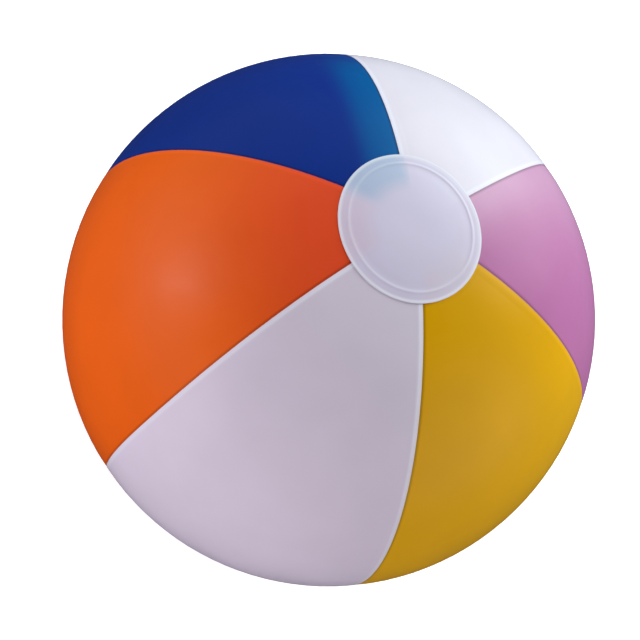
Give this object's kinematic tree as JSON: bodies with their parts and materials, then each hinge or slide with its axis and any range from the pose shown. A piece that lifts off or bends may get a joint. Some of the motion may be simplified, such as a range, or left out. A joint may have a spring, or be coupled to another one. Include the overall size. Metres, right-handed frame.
{
  "type": "inflatable beach ball",
  "caption": "Inflatable beach ball of coloured and white vinyl gores between round end discs, with a push-in valve whose hinged stopper swings open.",
  "frame": {"origin": "centre of the blown-up ball, midway between the flats of its two end discs", "axes": "+Z from the ball's centre through the middle of the plain end disc, so the valve points down (-Z); +X from the centre along the seam between the pink and the yellow gore, the side on which the stopper's hinge lies"},
  "size_m": [0.35, 0.35, 0.3488],
  "materials": {
    "film_pink": "satin vinyl film",
    "film_white": "satin vinyl film",
    "film_blue": "satin vinyl film",
    "film_orange": "satin vinyl film",
    "film_yellow": "satin vinyl film",
    "film_disc": "milky see-through vinyl film",
    "valve_vinyl": "soft moulded vinyl",
    "valve_film": "thin clear-white vinyl film"
  },
  "bodies": {
    "ball": {"gore_pink": "film_pink", "gore_white_a": "film_white", "gore_blue": "film_blue", "gore_orange": "film_orange", "gore_white_b": "film_white", "gore_yellow": "film_yellow", "end_disc_plain": "film_disc", "end_disc_valve": "film_disc", "valve_flange": "valve_vinyl", "valve_skirt": "valve_vinyl"},
    "valve": {"valve_stem": "valve_vinyl", "stopper_strap": "valve_vinyl"},
    "stopper": {"stopper": "valve_vinyl"},
    "flap": {"check_flap": "valve_film"}
  },
  "joints": [
    {"name": "valve_slide", "type": "slide", "parent": "ball", "child": "valve", "axis": [0, 0, -1], "range_m": [0, 0.016], "deforming": ["valve_skirt"]},
    {"name": "stopper_swing", "type": "hinge", "parent": "valve", "child": "stopper", "pos_m": [0.0083, 0, -0.17346], "axis": [0, -1, 0], "range_deg": [0, 140]},
    {"name": "flap_swing", "type": "hinge", "parent": "valve", "child": "flap", "pos_m": [0.0039, 0, -0.16391], "axis": [0, 1, 0], "range_deg": [0, 50]}
  ]
}
